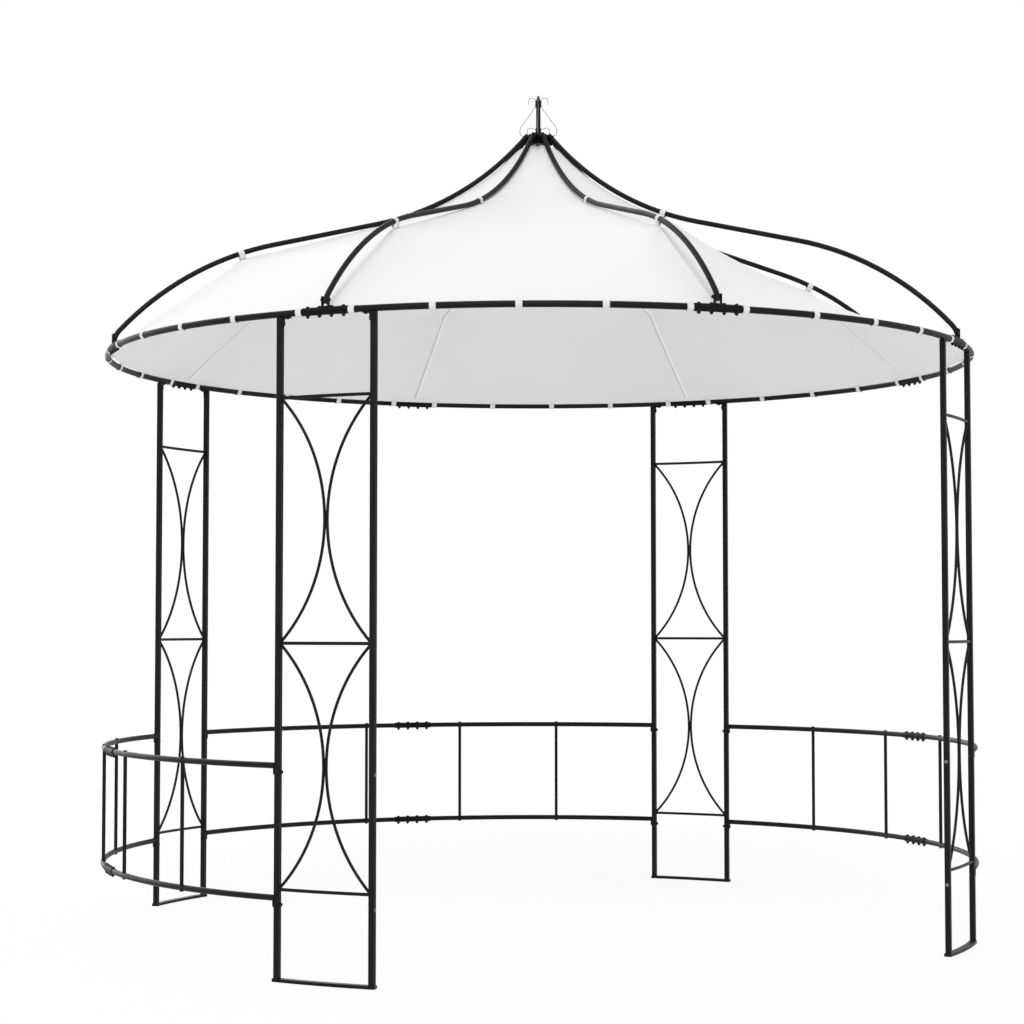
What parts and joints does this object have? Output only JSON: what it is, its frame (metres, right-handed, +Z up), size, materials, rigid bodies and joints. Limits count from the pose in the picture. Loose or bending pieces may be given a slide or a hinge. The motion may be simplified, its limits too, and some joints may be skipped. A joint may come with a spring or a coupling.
{
  "type": "round gazebo",
  "caption": "Round garden gazebo with a bolted steel-tube frame, low railings on three sides, S-curved roof ribs, a hung fabric canopy and a wire-scroll finial.",
  "frame": {"origin": "on the floor, at the centre of the eaves ring", "axes": "+Z up, -Y out of the open entrance bay, +X to the right of someone who looks in along +Y"},
  "size_m": [3, 3, 2.9],
  "materials": {
    "frame_steel": "dark anthracite powder coat, satin, finely textured",
    "connector_steel": "dark anthracite powder coat on sleeves, brackets and hub",
    "canopy_fabric": "white plain-weave polyester canopy cloth",
    "strap_webbing": "white fabric strap with a hook-and-loop face"
  },
  "bodies": {
    "root": {"post_panel_front_left_lower": "frame_steel", "post_panel_front_right_lower": "frame_steel", "post_panel_rear_right_lower": "frame_steel", "post_panel_rear_left_lower": "frame_steel", "post_panel_front_left_upper": "frame_steel", "post_panel_front_right_upper": "frame_steel", "post_panel_rear_right_upper": "frame_steel", "post_panel_rear_left_upper": "frame_steel", "ring_segment_1": "frame_steel", "ring_segment_2": "frame_steel", "ring_segment_3": "frame_steel", "ring_segment_4": "frame_steel", "ring_segment_5": "frame_steel", "ring_segment_6": "frame_steel", "ring_segment_7": "frame_steel", "ring_segment_8": "frame_steel", "ring_connector_1": "connector_steel", "ring_connector_2": "connector_steel", "ring_connector_3": "connector_steel", "ring_connector_4": "connector_steel", "ring_connector_5": "connector_steel", "ring_connector_6": "connector_steel", "ring_connector_7": "connector_steel", "ring_connector_8": "connector_steel", "rib_1": "frame_steel", "rib_2": "frame_steel", "rib_3": "frame_steel", "rib_4": "frame_steel", "rib_5": "frame_steel", "rib_6": "frame_steel", "rib_7": "frame_steel", "rib_8": "frame_steel", "rail_right_a": "frame_steel", "rail_right_b": "frame_steel", "rail_rear_a": "frame_steel", "rail_rear_b": "frame_steel", "rail_left_a": "frame_steel", "rail_left_b": "frame_steel", "rail_connectors": "connector_steel", "corner_brackets": "connector_steel", "hub": "connector_steel", "finial": "frame_steel", "canopy": "canopy_fabric", "ring_straps": "strap_webbing", "rib_straps": "strap_webbing"}
  },
  "joints": []
}
